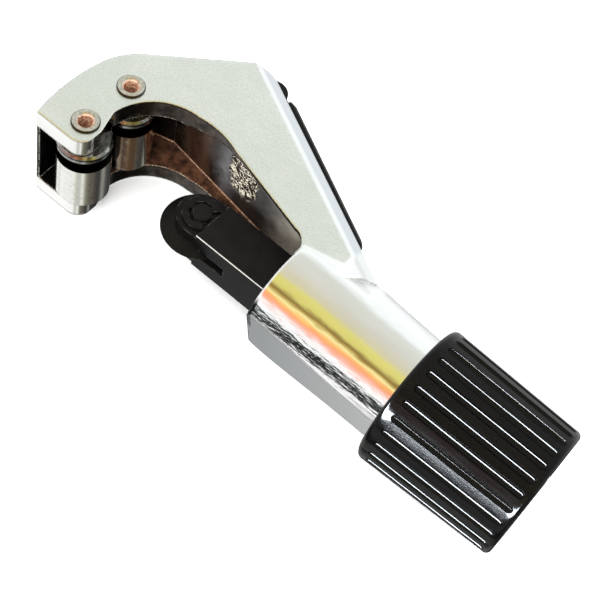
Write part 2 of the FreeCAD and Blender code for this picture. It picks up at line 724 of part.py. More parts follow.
def make_slide():
    """The square slide, forked at the front for the wheel and tapped at the rear."""
    body = new_body("slide")
    half = "slide_side / 2"
    nose = sketch_in(body, "slide_plan", "XY_Plane")
    trace(nose, [
        ("slide_rear_x", f"-{half}"),
        ("wheel_x", f"-{half}", f"{half} * 1.0001"),
        (f"wheel_x + {half}", "0", f"{half} * 1.0001"),
        ("wheel_x", half),
        ("slide_rear_x", half),
    ])
    feature(body, "PartDesign::Pad", "slide_bar", nose, {"Length": "slide_side"}, Midplane=True)
    slot = sketch_in(body, "slot_outline", "XZ_Plane")
    trace(slot, box_corners("wheel_x - slot_depth", "wheel_x + slide_side", "-slot_half", "slot_half"))
    feature(body, "PartDesign::Pocket", "wheel_slot", slot, Midplane=True, Type="ThroughAll")
    for name, low, high in (("upper_recess", f"{half} - recess_depth", f"{half} + 1"),
                            ("lower_recess", f"-{half} - 1", f"recess_depth - {half}")):
        recess = sketch_in(body, f"{name}_outline", "XZ_Plane")
        trace(recess, box_corners("wheel_x - recess_step", "wheel_x + slide_side", low, high))
        feature(body, "PartDesign::Pocket", name, recess, Midplane=True, Type="ThroughAll")
    hole = sketch_in(body, "pin_hole_outline", "XY_Plane")
    ring(hole, "pin_r + pin_play", x="wheel_x")
    feature(body, "PartDesign::Pocket", "pin_hole", hole, Midplane=True, Type="ThroughAll")
    bore = sketch_in(body, "screw_bore_outline", "YZ_Plane", offset="slide_rear_x")
    ring(bore, "screw_bore_r")
    feature(body, "PartDesign::Pocket", "screw_bore", bore, {"Length": "screw_bore"}, Reversed=True)
    return body


def make_cutter_wheel():
    """The hardened wheel: a flat hub and two bevels down to the cutting edge."""
    bore = "pin_r + running_gap"
    body = turned("cutter_wheel", "Z", [
        ("-wheel_half", bore),
        ("-wheel_half", "wheel_hub_r"),
        ("-wheel_edge", "wheel_r"),
        ("wheel_edge", "wheel_r"),
        ("wheel_half", "wheel_hub_r"),
        ("wheel_half", bore),
    ])
    place(body, x="wheel_x")
    return body


def make_wheel_pin():
    """The pin that carries the wheel: a head below, a groove for the clip above."""
    top = "slide_side / 2 - recess_depth"
    body = turned("wheel_pin", "Z", [
        ("-slide_side / 2 + 0.1", "0"),
        ("-slide_side / 2 + 0.1", "pin_head_r - 0.2"),
        ("-slide_side / 2 + 0.3", "pin_head_r"),
        (f"-({top})", "pin_head_r"),
        (f"-({top})", "pin_r"),
        ("clip_low_z", "pin_r"),
        ("clip_low_z", "clip_seat_r"),
        ("clip_low_z + clip_thick", "clip_seat_r"),
        ("clip_low_z + clip_thick", "pin_r"),
        ("pin_top_z - pin_edge", "pin_r"),
        ("pin_top_z", "pin_r - pin_edge"),
        ("pin_top_z", "0"),
    ])
    place(body, x="wheel_x")
    return body


def polar(radius, degrees):
    """A corner at an angle, as expressions."""
    return f"{radius} * cos({degrees})", f"{radius} * sin({degrees})"


def make_wheel_clip():
    """The E-shaped clip in the pin's groove, open towards the knob."""
    body = new_body("wheel_pin_clip")
    sketch = sketch_in(body, "clip_outline", "XY_Plane", offset="clip_low_z")
    mouth = 132
    corners = [polar("clip_r", -mouth) + ("clip_r",), polar("clip_r", -44) + ("clip_r",),
               polar("clip_r", 44) + ("clip_r",), polar("clip_r", mouth)]
    for tab in (112, 0, -112):
        low, high = tab + 16, tab - 16
        corners.append(polar("clip_ring_r", low))
        corners.append(polar("clip_seat_r", low) + ("-clip_seat_r",))
        corners.append(polar("clip_seat_r", high))
        corners.append(polar("clip_ring_r", high) + ("-clip_ring_r",))
    corners[-1] = corners[-1][:2]
    trace(sketch, corners)
    feature(body, "PartDesign::Pad", "clip_plate", sketch, {"Length": "clip_thick"})
    place(body, x="wheel_x")
    return body


# ---- feed screw and its bearing --------------------------------------------------------------

def make_feed_screw():
    """The captive screw: left-hand thread, collar, journal and driving square."""
    body = turned("feed_screw", "X", [
        ("screw_front_x", "0"),
        ("screw_front_x", "thread_root_r"),
        ("screw_front_x - 0.8", "thread_r"),
        ("thread_end_x", "thread_r"),
        ("thread_end_x - 0.8", "thread_root_r"),
        ("collar_x", "thread_root_r"),
        ("collar_x", "collar_r - 0.3"),
        ("collar_x - 0.3", "collar_r"),
        ("collar_end_x", "collar_r"),
        ("collar_end_x", "journal_r"),
        ("drive_x", "journal_r"),
        ("drive_x", "0"),
    ])
    half = "drive_side / 2"
    square = sketch_in(body, "drive_outline", "YZ_Plane", offset="drive_x")
    trace(square, box_corners(f"-{half}", half, f"-{half}", half))
    feature(body, "PartDesign::Pad", "drive_square", square, {"Length": "drive_x - screw_end_x"},
            Reversed=True)
    tap = sketch_in(body, "tap_outline", "YZ_Plane", offset="screw_end_x")
    ring(tap, "tap_r")
    feature(body, "PartDesign::Pocket", "tapped_hole", tap, {"Length": "tap_depth"}, Reversed=True)
    return body


def make_thrust_washer():
    return washer("thrust_washer", "thrust_front_x", "thrust_rear_x", "thrust_r",
                  "journal_r + running_gap")


def make_rear_bushing():
    """The bushing that closes the barrel and carries the screw's journal."""
    bore = "journal_r + running_gap"
    body = turned("rear_bushing", "X", [
        ("bushing_x", bore),
        ("bushing_x", "bush_r - 0.4"),
        ("bushing_x - 0.4", "bush_r"),
        ("barrel_end_x", "bush_r"),
        ("barrel_end_x", bore),
    ])
    dimple = sketch_in(body, "dimple_outline", "XY_Plane", offset="bush_r - set_screw_seat")
    ring(dimple, "set_screw_r", x="set_screw_x")
    feature(body, "PartDesign::Pocket", "set_screw_dimple", dimple, {"Length": "2 * set_screw_seat"},
            Reversed=True)
    return body


def make_set_screw():
    """The headless screw that locks the bushing in the barrel."""
    top = "tail_r - 0.4"
    body = turned("bushing_set_screw", "Z", [
        ("bush_r - set_screw_seat", "0"),
        ("bush_r - set_screw_seat", "set_screw_r - 0.2"),
        ("bush_r - set_screw_seat + 0.2", "set_screw_r"),
        (top, "set_screw_r"),
        (top, "0"),
    ])
    half = "set_screw_socket / 2"
    socket = sketch_in(body, "socket_outline", "XY_Plane", offset=top)
    trace(socket, box_corners(f"-{half}", half, f"-{half}", half))
    feature(body, "PartDesign::Pocket", "socket", socket, {"Length": "1.4"})
    place(body, x="set_screw_x")
    return body


def make_friction_washer():
    """The washer that rubs between the barrel's end and the knob's insert."""
    return washer("friction_washer", "friction_front_x", "friction_rear_x", "friction_r",
                  "journal_r + running_gap")


# ---- knob ------------------------------------------------------------------------------------

def make_knob():
    """The moulded knob: a fluted cup over the end of the barrel."""
    rim = "knob_rim_r"
    body = turned("knob", "X", [
        ("knob_front_x", "skirt_r"),
        ("knob_front_x", f"knob_front_r - {rim}", f"{rim} * 1.01"),
        (f"knob_front_x - {rim}", "knob_front_r"),
        (f"knob_rear_x + {rim}", "knob_rear_r", f"{rim} * 1.01"),
        ("knob_rear_x", f"knob_rear_r - {rim}"),
        ("knob_rear_x", "cap_r"),
        ("cap_x", "cap_r"),
        ("cap_x", "well_r"),
        ("well_x", "well_r"),
        ("well_x", "insert_r"),
        ("insert_flange_x", "insert_r"),
        ("insert_flange_x", "insert_flange_r"),
        ("hub_x", "insert_flange_r"),
        ("hub_x", "skirt_r"),
    ])
    cut_flutes(body)
    return body


def cut_flutes(body):
    """One round-ended flute along the knob, repeated all the way round."""
    slope = "(knob_front_r - knob_rear_r) / (knob_front_x - knob_rear_x)"
    front_r = f"(knob_front_r + flute_lift - {slope} * (knob_front_x - flute_front_x))"
    rear_r = f"(knob_front_r + flute_lift - {slope} * (knob_front_x - flute_rear_x))"
    front = ("flute_front_x + flute_r", front_r)
    rear = ("flute_rear_x - flute_r", rear_r)
    sketch = sketch_in(body, "flute_outline", "XY_Plane")
    trace(sketch, [
        front + ("-flute_r * 1.001",),
        ("flute_front_x", f"{front_r} - flute_r"),
        ("flute_rear_x", f"{rear_r} - flute_r", "-flute_r * 1.05"),
        rear,
    ])
    ends = [FreeCAD.Vector(value(sketch, x), value(sketch, y), 0) for x, y in (front, rear)]
    axis = sketch.addGeometry(Part.LineSegment(ends[0], ends[1]), True)
    fix_point(sketch, axis, 1, front[0], front[1])
    fix_point(sketch, axis, 2, rear[0], rear[1])
    flute = feature(body, "PartDesign::Groove", "flute", sketch,
                    ReferenceAxis=(sketch, ["Axis0"]), Angle=360)
    round_axis = next(item for item in body.Origin.OriginFeatures if item.Role == "X_Axis")
    pattern = body.newObject("PartDesign::PolarPattern", "flutes")
    pattern.Originals = [flute]
    pattern.Axis = (round_axis, [""])
    pattern.Angle = 360
    bind(pattern, {"Occurrences": "flute_count"})
    body.Tip = pattern
    doc.recompute()


def make_knob_insert():
    """The flanged metal insert that takes the drive from the knob to the screw."""
    body = turned("knob_insert", "X", [
        ("hub_x", "0"),
        ("hub_x", "insert_flange_r"),
        ("insert_flange_x", "insert_flange_r"),
        ("insert_flange_x", "insert_r"),
        ("well_x", "insert_r"),
        ("well_x", "0"),
    ])
    half = "drive_side / 2"
    square = sketch_in(body, "insert_square", "YZ_Plane")
    trace(square, box_corners(f"-{half}", half, f"-{half}", half))
    feature(body, "PartDesign::Pocket", "square_hole", square, Midplane=True, Type="ThroughAll")
    return body


def make_knob_washer():
    return washer("knob_washer", "well_x", "washer_x", "washer_r", "tap_r")


def make_knob_screw():
    """The screw that holds the knob on the feed screw."""
    body = turned("knob_screw", "X", [
        ("screw_end_x + tap_depth - 1", "0"),
        ("screw_end_x + tap_depth - 1", "tap_r - 0.4"),
        ("screw_end_x + tap_depth - 1.4", "tap_r"),
        ("washer_x", "tap_r"),
        ("washer_x", "head_r"),
        ("head_x + 0.9", "head_r"),
        ("head_x", "head_r - 0.9"),
        ("head_x", "0"),
    ])
    for name, width, height in (("cross_flat", "cross_length", "cross_width"),
                                ("cross_upright", "cross_width", "cross_length")):
        bar = sketch_in(body, f"{name}_outline", "YZ_Plane", offset="head_x")
        trace(bar, box_corners(f"-{width} / 2", f"{width} / 2", f"-{height} / 2", f"{height} / 2"))
        feature(body, "PartDesign::Pocket", name, bar, {"Length": "cross_depth"}, Reversed=True)
    return body


def make_knob_cap():
    """The cap pressed into the rear of the knob."""
    return turned("knob_cap", "X", [
        ("cap_x", "0"),
        ("cap_x", "cap_r"),
        ("cap_rear_x + 0.4", "cap_r"),
        ("cap_rear_x", "cap_r - 0.5"),
        ("cap_rear_x", "cap_r - 2.2"),
        ("cap_rear_x + 0.5", "cap_r - 2.7"),
        ("cap_rear_x + 0.5", "0"),
    ])


# ---- the whole tool --------------------------------------------------------------------------

def make_pieces():
    """Every separate piece of the tool."""
    pieces = [make_frame()]
    for roller in ("front_roller", "rear_roller"):
        pieces.append(make_roller(roller))
        pieces.append(make_rivet(roller))
    pieces += [make_reamer_blade(), make_reamer_pin()]
    pieces += [make_slide(), make_cutter_wheel(), make_wheel_pin(), make_wheel_clip()]
    pieces += [make_feed_screw(), make_thrust_washer(), make_rear_bushing(), make_set_screw()]
    pieces += [make_friction_washer(), make_knob(), make_knob_insert(), make_knob_washer()]
    pieces += [make_knob_screw(), make_knob_cap()]
    return pieces


def check(pieces):
    """Stop before writing anything if the document holds a failed object or a bad solid."""
    for item in doc.Objects:
        if "Invalid" in item.State or "Error" in item.State:
            raise RuntimeError(f"{item.Label} failed: {item.State}")
    for piece in pieces:
        shape = piece.Shape
        if shape.isNull() or not shape.isValid() or not shape.Solids:
            raise RuntimeError(f"{piece.Label} has no valid solid")


make_sheet()
all_pieces = make_pieces()
doc.recompute()
check(all_pieces)
os.makedirs("parts", exist_ok=True)
for piece in all_pieces:
    piece.Shape.exportStep(os.path.join("parts", f"{piece.Label}.step"))
    print(piece.Label, len(piece.Shape.Solids), round(piece.Shape.Volume, 1))
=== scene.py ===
import math
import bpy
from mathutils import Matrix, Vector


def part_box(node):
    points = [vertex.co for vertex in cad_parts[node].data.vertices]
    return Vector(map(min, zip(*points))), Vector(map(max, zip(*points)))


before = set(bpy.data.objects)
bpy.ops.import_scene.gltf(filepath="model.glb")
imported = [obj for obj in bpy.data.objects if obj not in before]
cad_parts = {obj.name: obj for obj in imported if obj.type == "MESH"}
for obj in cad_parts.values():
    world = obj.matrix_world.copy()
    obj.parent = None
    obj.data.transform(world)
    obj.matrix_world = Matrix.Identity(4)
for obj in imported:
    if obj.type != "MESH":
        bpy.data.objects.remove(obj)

from types import SimpleNamespace

import bpy
from mathutils import Matrix, Vector

MM = 0.001
DEGREES = 180 / math.pi
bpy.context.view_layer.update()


def axis_y(name):
    """The Y of the axis that a round piece is centred on, in millimetres."""
    low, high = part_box(name)
    return (low[1] + high[1]) / 2 / MM


# ---- shader nodes ----------------------------------------------------------------------------

def linear(colour):
    """An 0 to 255 display colour as the linear RGBA that shaders use."""
    channels = []
    for part in colour:
        part = part / 255
        channels.append(part / 12.92 if part <= 0.04045 else ((part + 0.055) / 1.055) ** 2.4)
    return (*channels, 1.0)


def by_angle(stops):
    """Stops given by angle, from -180 to 180 degrees, as stops of a 0 to 1 ramp."""
    return [((angle + 180) / 360, colour) for angle, colour in stops]


class Shading:
    """Short calls that add and link nodes in one node tree."""

    def __init__(self, tree):
        self.tree = tree

    def node(self, kind, inputs=None, **settings):
        item = self.tree.nodes.new("ShaderNode" + kind)
        for name, setting in settings.items():
            setattr(item, name, setting)
        for key, given in (inputs or {}).items():
            if isinstance(given, bpy.types.NodeSocket):
                self.tree.links.new(given, item.inputs[key])
            else:
                item.inputs[key].default_value = given
        return item

    def calc(self, operation, *values):
        return self.node("Math", dict(enumerate(values)), operation=operation).outputs[0]

    def magnitude(self, given):
        """A number without its sign."""
        return self.calc("ABSOLUTE", given)

    def outside(self, mask):
        """1 where a mask is 0."""
        return self.calc("SUBTRACT", 1.0, mask)

    def either(self, first, second):
        return self.calc("MAXIMUM", first, second)

    def both(self, *masks):
        """1 where all the masks are 1."""
        result = masks[0]
        for mask in masks[1:]:
            result = self.calc("MULTIPLY", result, mask)
        return result

    def step(self, given, none, full):
        """0 up to none and 1 from full on, smoothly, where none may be the higher of the two."""
        rising = none < full
        inputs = {"Value": given, "From Min": min(none, full), "From Max": max(none, full),
                  "To Min": 0.0 if rising else 1.0, "To Max": 1.0 if rising else 0.0}
        return self.node("MapRange", inputs, interpolation_type="SMOOTHSTEP").outputs[0]

    def band(self, given, none_below, full_from, full_to, none_above):
        """1 between two values and 0 outside them, with soft ends."""
        return self.both(self.step(given, none_below, full_from), self.step(given, none_above, full_to))

    def fit(self, given, low, high):
        """A 0 to 1 value spread between two others."""
        return self.node("MapRange", {"Value": given, "To Min": low, "To Max": high}).outputs[0]

    def mix(self, factor, first, second):
        """A colour between two, by a factor."""
        return self.node("Mix", {0: factor, 6: first, 7: second}, data_type="RGBA").outputs[2]

    def blend(self, factor, first, second):
        """A number between two, by a factor."""
        return self.node("Mix", {0: factor, 2: first, 3: second}, data_type="FLOAT").outputs[0]

    def ramp(self, factor, stops):
        item = self.node("ValToRGB", {"Fac": factor})
        points = item.color_ramp.elements
        while len(points) < len(stops):
            points.new(0.5)
        for point, (position, colour) in zip(points, stops):
            point.position = position
            point.color = linear(colour)
        return item.outputs["Color"]

    def noise(self, place, scale, detail=3.0, rough=0.5, distortion=0.0):
        inputs = {"Vector": place, "Scale": scale, "Detail": detail, "Roughness": rough,
                  "Distortion": distortion}
        return self.node("TexNoise", inputs).outputs[0]

    def vector(self, operation, first, second):
        """Two vectors into one, or a vector and the number that scales it."""
        key = "Scale" if operation == "SCALE" else 1
        return self.node("VectorMath", {0: first, key: second}, operation=operation).outputs[0]

    def stretched(self, place, x, y, z):
        return self.vector("MULTIPLY", place, (x, y, z))


class Finish(Shading):
    """A material under construction. Its places are in millimetres in the part's own frame."""

    def __init__(self, name, metal):
        self.material = bpy.data.materials.new(name)
        self.material.use_nodes = True
        super().__init__(self.material.node_tree)
        self.shader = self.tree.nodes["Principled BSDF"]
        self.shader.inputs["Metallic"].default_value = metal
        coords = self.node("TexCoord")
        self.place = self.vector("SCALE", coords.outputs["Object"], 1 / MM)
        self.x, self.y, self.z = self.node("SeparateXYZ", {0: self.place}).outputs
        self.facing = self.node("SeparateXYZ", {0: coords.outputs["Normal"]}).outputs

    def set(self, **inputs):
        for key, given in inputs.items():
            socket = self.shader.inputs[key.replace("_", " ")]
            if isinstance(given, bpy.types.NodeSocket):
                self.tree.links.new(given, socket)
            else:
                socket.default_value = given

    def distance(self, offset_a, offset_b):
        """The length of the two legs of a right angle."""
        return self.calc("SQRT", self.calc("ADD", self.calc("POWER", offset_a, 2.0),
                                           self.calc("POWER", offset_b, 2.0)))

    def bump(self, height, depth, under=None):
        """Relief of a given depth in millimetres, on top of another."""
        inputs = {"Height": height, "Distance": depth * MM, "Strength": 1.0}
        if under is not None:
            inputs["Normal"] = under
        return self.node("Bump", inputs).outputs[0]

    def rounded(self, radius, samples):
        """The surface's direction, as if its edges were rounded."""
        return self.node("Bevel", {"Radius": radius * MM}, samples=samples).outputs[0]

    def edges(self, radius, none, full):
        """1 on sharp outer and inner edges, 0 on open faces."""
        sharp = self.node("NewGeometry").outputs["Normal"]
        inputs = {0: self.rounded(radius, 6), 1: sharp}
        along = self.node("VectorMath", inputs, operation="DOT_PRODUCT").outputs["Value"]
        return self.step(self.outside(along), none, full)

    def assign(self, *names):
        for name in names:
            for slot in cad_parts[name].material_slots:
                slot.material = self.material


# ---- the casting -----------------------------------------------------------------------------

# Where the zones of the casting end. Each row is what is measured, up to where the zone's mask is 0,
# and from where on it is 1. Places are in millimetres and turn is in degrees; up, rise, out, outward
# and flank_tilt are parts of the surface's direction.
ZONES = {
    # the outer faces of the two cheeks
    "cheek": [("up", 0.99, 0.998), ("height", 13.3, 13.38), ("height", 13.5, 13.42),
              ("x", -62.8, -62.6)],
    # the cheek's border along the barrel, where it turns down into it
    "border": [("x", -51.8, -52.6), ("height", 13.25, 13.32), ("y", -3.4, -3.9), ("up", 0.97, 0.99)],
    # the end of the spine, where it runs out on the barrel
    "foot": [("x", -60.4, -62.6), ("x", -71.5, -68.5), ("y", -3.5, -5.0)],
    "foot_top": [("height", 11.8, 12.4)],
    # the lower part of the long bevels beside the spine, painted greyer as a reflection band
    "bevel": [("height", 12.6, 11.9), ("out", -0.3, -0.4), ("up", 0.5, 0.6), ("x", -66.0, -64.0)],
    # the channel between the cheeks
    "channel": [("from_middle", 8.99, 8.92), ("y", -19.9, -19.6), ("x", -52.15, -52.0),
                ("x", 9.4, 9.2), ("to_nose", 11.95, 11.75)],
    "not_spine": [("x", -44.0, -43.0)],
    "not_spine_wall": [("out", -0.75, -0.6)],
    "upright": [("up", 0.6, 0.3)],
    "level": [("rise", 0.5, 0.8)],
    # the cut edge of the cheeks round the jaw, painted dark as shade
    "shaded_jaw_edge": [("up", 0.5, 0.3), ("y", -14.6, -14.3), ("y", 7.2, 6.8), ("x", -52.15, -52.0),
                 ("x", -2.2, -2.4), ("outward", 0.0, 0.1)],
    # the flat flank low on the barrel's open side, painted darker towards the mouth as a reflection
    # gradient
    "flank": [("x", -52.3, -52.8), ("out", 0.955, 0.965), ("flank_tilt", 0.02, 0.01)],
    # the mouth's edge of the barrel, painted near-black as a dark reflection
    "painted_dark_rim": [("x", -53.4, -53.1), ("x", -52.0, -52.1), ("turn", 44.0, 34.0), ("turn", -12.0, 4.0)],
    # the rough parting line along the barrel
    "parting": [("x", -52.0, -54.0), ("turn", 18.0, 24.0), ("turn", 44.0, 35.0)],
}

# The channel wall's colour, by distance behind the roller axles, in parts of a length: stains, with
# painted shade (near-black by the rollers, dark bands) and painted reflections (the lighter grey
# patches).
WALL_TONE_LENGTH = 50.0
WALL_STAINS_SHADE_AND_REFLECTIONS = [
    (0.00, (18, 16, 15)),
    (0.14, (26, 22, 20)),
    (0.20, (76, 58, 44)),
    (0.25, (58, 38, 28)),
    (0.31, (84, 60, 46)),
    (0.39, (34, 28, 26)),
    (0.46, (104, 104, 106)),
    (0.53, (52, 50, 49)),
    (0.62, (50, 46, 44)),
    (0.71, (36, 34, 34)),
    (0.77, (84, 80, 76)),
    (0.83, (134, 128, 120)),
    (0.92, (168, 161, 148)),
]


def casting_zones(f):
    """The masks of the casting's zones, by name."""
    channel_middle, barrel_axis_y = -0.3, -0.6
    nose_direction = (0.838, -0.545)
    flank_facing_z = -0.242
    border_start, border_slope = -36.8, 0.27
    x, y, z = f.x, f.y, f.z
    measured = {
        "x": x,
        "y": y,
        "height": f.magnitude(z),
        "from_middle": f.magnitude(f.calc("SUBTRACT", z, channel_middle)),
        "to_nose": f.calc("ADD", f.calc("MULTIPLY", x, nose_direction[0]),
                          f.calc("MULTIPLY", y, nose_direction[1])),
        "turn": f.calc("MULTIPLY", f.calc("ARCTAN2", z, f.calc("SUBTRACT", y, barrel_axis_y)), DEGREES),
        "up": f.magnitude(f.facing[2]),
        "rise": f.facing[2],
        "out": f.facing[1],
        "outward": f.calc("SUBTRACT", f.facing[1], f.facing[0]),
        "flank_tilt": f.magnitude(f.calc("SUBTRACT", f.facing[2], flank_facing_z)),
    }

    def zone(name):
        return f.both(*(f.step(measured[what], none, full) for what, none, full in ZONES[name]))

    border_line = f.calc("MULTIPLY", f.calc("SUBTRACT", x, border_start), border_slope)
    past_border = f.step(f.calc("SUBTRACT", y, border_line), -0.9, 0.6)
    border = f.both(f.either(past_border, f.step(x, -60.2, -62.6)), zone("border"))
    cheek = f.both(zone("cheek"), f.outside(border))
    foot = f.both(zone("foot"), f.outside(cheek))
    channel = f.both(zone("channel"), f.either(zone("not_spine"), zone("not_spine_wall")))
    return SimpleNamespace(
        border=border,
        cheek=cheek,
        foot=foot,
        foot_top=f.both(foot, zone("foot_top")),
        bevel=zone("bevel"),
        channel=channel,
        wall=f.both(channel, zone("upright")),
        floor=f.both(channel, zone("level")),
        shaded_jaw_edge=f.both(zone("shaded_jaw_edge"), f.outside(channel)),
        flank=zone("flank"),
        painted_dark_rim=zone("painted_dark_rim"),
        parting=zone("parting"),
    )


def crinkled_patch(f, wall):
    """The rough patch on the channel's wall: its mask, and its wandering veins."""
    centre_x, centre_z = -28.3, 2.2
    half_x, half_z = 5.2, 7.6
    away = f.distance(f.calc("DIVIDE", f.calc("SUBTRACT", f.x, centre_x), half_x),
                      f.calc("DIVIDE", f.calc("SUBTRACT", f.z, centre_z), half_z))
    ragged = f.calc("ADD", away, f.fit(f.noise(f.place, 0.5, 4.0), -0.35, 0.35))
    veins = f.magnitude(f.calc("SUBTRACT", f.noise(f.place, 0.62, 3.0, 0.55, 1.0), 0.5))
    return f.both(wall, f.step(ragged, 0.95, 0.7)), veins


def satin_tone(f, grain):
    """The cheeks: pale satin with darker grains."""
    cloud = f.noise(f.place, 0.12, 3.0)
    tone = f.ramp(cloud, [(0.3, (242, 247, 244)), (0.7, (253, 255, 254))])
    return f.mix(f.step(grain, 0.40, 0.66), tone, linear((230, 234, 231)))


def mirror_tone(f, zones, smudge):
    """The barrel, the bevels and the flank: smudged chrome, a greyer painted reflection band low on the
    bevels, a painted reflection gradient on the flank, and satin at the foot of the spine.
    """
    tone = f.ramp(smudge, [(0.3, (244, 244, 243)), (0.7, (253, 253, 253))])
    # painted reflection: the lower bevels are painted greyer, as a darker reflected band
    tone = f.mix(zones.bevel, tone, linear((218, 222, 226)))
    tone = f.mix(zones.foot, tone, linear((182, 185, 185)))
    # painted reflection: the flank is painted darker towards the mouth, copying a reflected gradient
    flank_back, flank_length = -88.0, 36.0
    along = f.calc("DIVIDE", f.calc("SUBTRACT", f.x, flank_back), flank_length)
    flank_tone = f.ramp(along, [(0.0, (250, 250, 250)), (0.45, (226, 227, 228)), (0.9, (196, 199, 203))])
    return f.mix(zones.flank, tone, flank_tone)


def channel_tone(f, zones, mottle, crinkled, painted_glint):
    """The channel: walls with stains, painted shade and painted reflections, a mottled brown floor, a
    painted highlight along the join of walls and floor, painted near-black shade towards +Y, and the
    rough patch with painted highlights on its veins.
    """
    along = f.calc("DIVIDE", f.calc("MULTIPLY", f.x, -1.0), WALL_TONE_LENGTH)
    wander = f.calc("MULTIPLY", f.calc("SUBTRACT", f.noise(f.place, 0.3, 4.0), 0.5), 0.12)
    # painted shade and painted reflections: the wall runs from near-black by the rollers through dark
    # bands to lighter patches
    stains_shade_and_reflections = f.ramp(f.calc("ADD", along, wander), WALL_STAINS_SHADE_AND_REFLECTIONS)
    floor_tone = f.mix(f.step(mottle, 0.35, 0.7), linear((70, 48, 38)), linear((140, 96, 72)))
    floor_z = -9.05
    # painted highlight: a bright copper line along the join of wall and floor, where a rounded fillet
    # would catch the light
    painted_seam_highlight = f.both(zones.wall, f.step(f.magnitude(f.calc("SUBTRACT", f.z, floor_z)), 0.34, 0.10))
    tone = f.mix(zones.floor, stains_shade_and_reflections, floor_tone)
    tone = f.mix(painted_seam_highlight, tone, linear((216, 158, 118)))
    # painted shade: the channel towards +Y is painted near-black
    tone = f.mix(f.step(f.y, -3.5, 1.5), tone, linear((12, 11, 11)))
    tone = f.mix(crinkled, tone, linear((62, 54, 46)))
    return f.mix(painted_glint, tone, linear((255, 248, 226)))


def casting_relief(f, zones, grain, crinkled, veins):
    """The casting's fine relief, over edges that look rounded and turned into each other."""
    ripple = f.noise(f.stretched(f.place, 0.4, 1.4, 1.4), 1.0, 2.0)
    wave = f.noise(f.stretched(f.place, 0.5, 1.0, 1.0), 0.22, 2.0)
    tipped = f.calc("ADD", f.either(zones.border, zones.foot_top), f.calc("MULTIPLY", zones.cheek, 0.2))
    towards_spine = (0.0, -0.32, 0.0)
    lean = f.vector("SCALE", towards_spine, tipped)
    leaning = f.vector("ADD", f.rounded(0.8, 8), lean)
    relief = f.node("VectorMath", {0: leaning}, operation="NORMALIZE").outputs[0]
    for height, depth in (
        (f.both(zones.cheek, grain), 0.012),
        (f.both(zones.parting, ripple), 0.09),
        (wave, 0.10),
        (f.both(zones.channel, f.noise(f.place, 0.3, 2.0)), 0.2),
        (f.both(crinkled, veins), 2.0),
    ):
        relief = f.bump(height, depth, relief)
    return relief


def cast_chrome():
    """The frame: satin cheeks, mirror barrel and bevels, a dark channel with stains, painted shade and
    painted reflections, and painted highlights along sharp edges.
    """
    f = Finish("cast_chrome", 1.0)
    zones = casting_zones(f)
    grain = f.noise(f.place, 2.6, 4.0, 0.7)
    smudge = f.noise(f.stretched(f.place, 0.25, 1.0, 1.0), 0.35, 4.0)
    mottle = f.noise(f.place, 0.45, 6.0, 0.6)
    crinkled, veins = crinkled_patch(f, zones.wall)
    # painted highlight: near-white spots along the veins of the rough patch, which also make the metal
    # duller there
    painted_glint = f.both(crinkled, f.step(veins, 0.06, 0.025))

    tone = f.mix(zones.cheek, mirror_tone(f, zones, smudge), satin_tone(f, grain))
    tone = f.mix(zones.channel, tone, channel_tone(f, zones, mottle, crinkled, painted_glint))
    # painted shade: the cut edge round the jaw is painted dark and mottled
    tone = f.mix(zones.shaded_jaw_edge, tone, f.ramp(mottle, [(0.35, (36, 33, 32)), (0.7, (84, 74, 68))]))
    # painted reflection: the barrel's mouth edge is painted near-black
    tone = f.mix(zones.painted_dark_rim, tone, linear((34, 36, 40)))
    # painted highlight: the casting's sharp edges are painted near-white, broken up by the grain
    painted_edge_highlight = f.both(f.edges(0.4, 0.01, 0.08), f.step(grain, 0.45, 0.6), f.outside(zones.painted_dark_rim))

    roughness = f.fit(smudge, 0.05, 0.11)
    for zone, rougher in (
        (zones.cheek, f.fit(grain, 0.30, 0.42)),
        (zones.channel, f.fit(mottle, 0.20, 0.40)),
        (crinkled, 0.16),
        (zones.foot, 0.45),
    ):
        roughness = f.blend(zone, roughness, rougher)

    dull = f.either(f.calc("MULTIPLY", zones.channel, f.fit(painted_glint, 0.45, 0.9)),
                    f.calc("MULTIPLY", zones.foot, 0.8))
    f.set(Base_Color=f.mix(painted_edge_highlight, tone, linear((246, 242, 228))),
          Metallic=f.outside(dull),
          Roughness=roughness,
          Normal=casting_relief(f, zones, grain, crinkled, veins))
    f.assign("frame")


# ---- the other finishes ----------------------------------------------------------------------

# The rollers' steel, by direction round the roller's axis in degrees from +X to +Y. The rear
# roller's table is painted shade and painted reflection bands, put into the steel's colour.
CLEAN_STEEL = [(-180, (240, 239, 236)), (180, (240, 239, 236))]
SHADE_AND_REFLECTION_STEEL = [
    (-180, (226, 220, 212)),
    (-40, (120, 108, 98)),
    (40, (34, 30, 29)),
    (104, (32, 28, 27)),
    (113, (50, 42, 38)),
    (118, (156, 136, 120)),
    (123, (92, 70, 56)),
    (132, (86, 66, 52)),
    (146, (190, 152, 128)),
    (158, (232, 226, 218)),
]


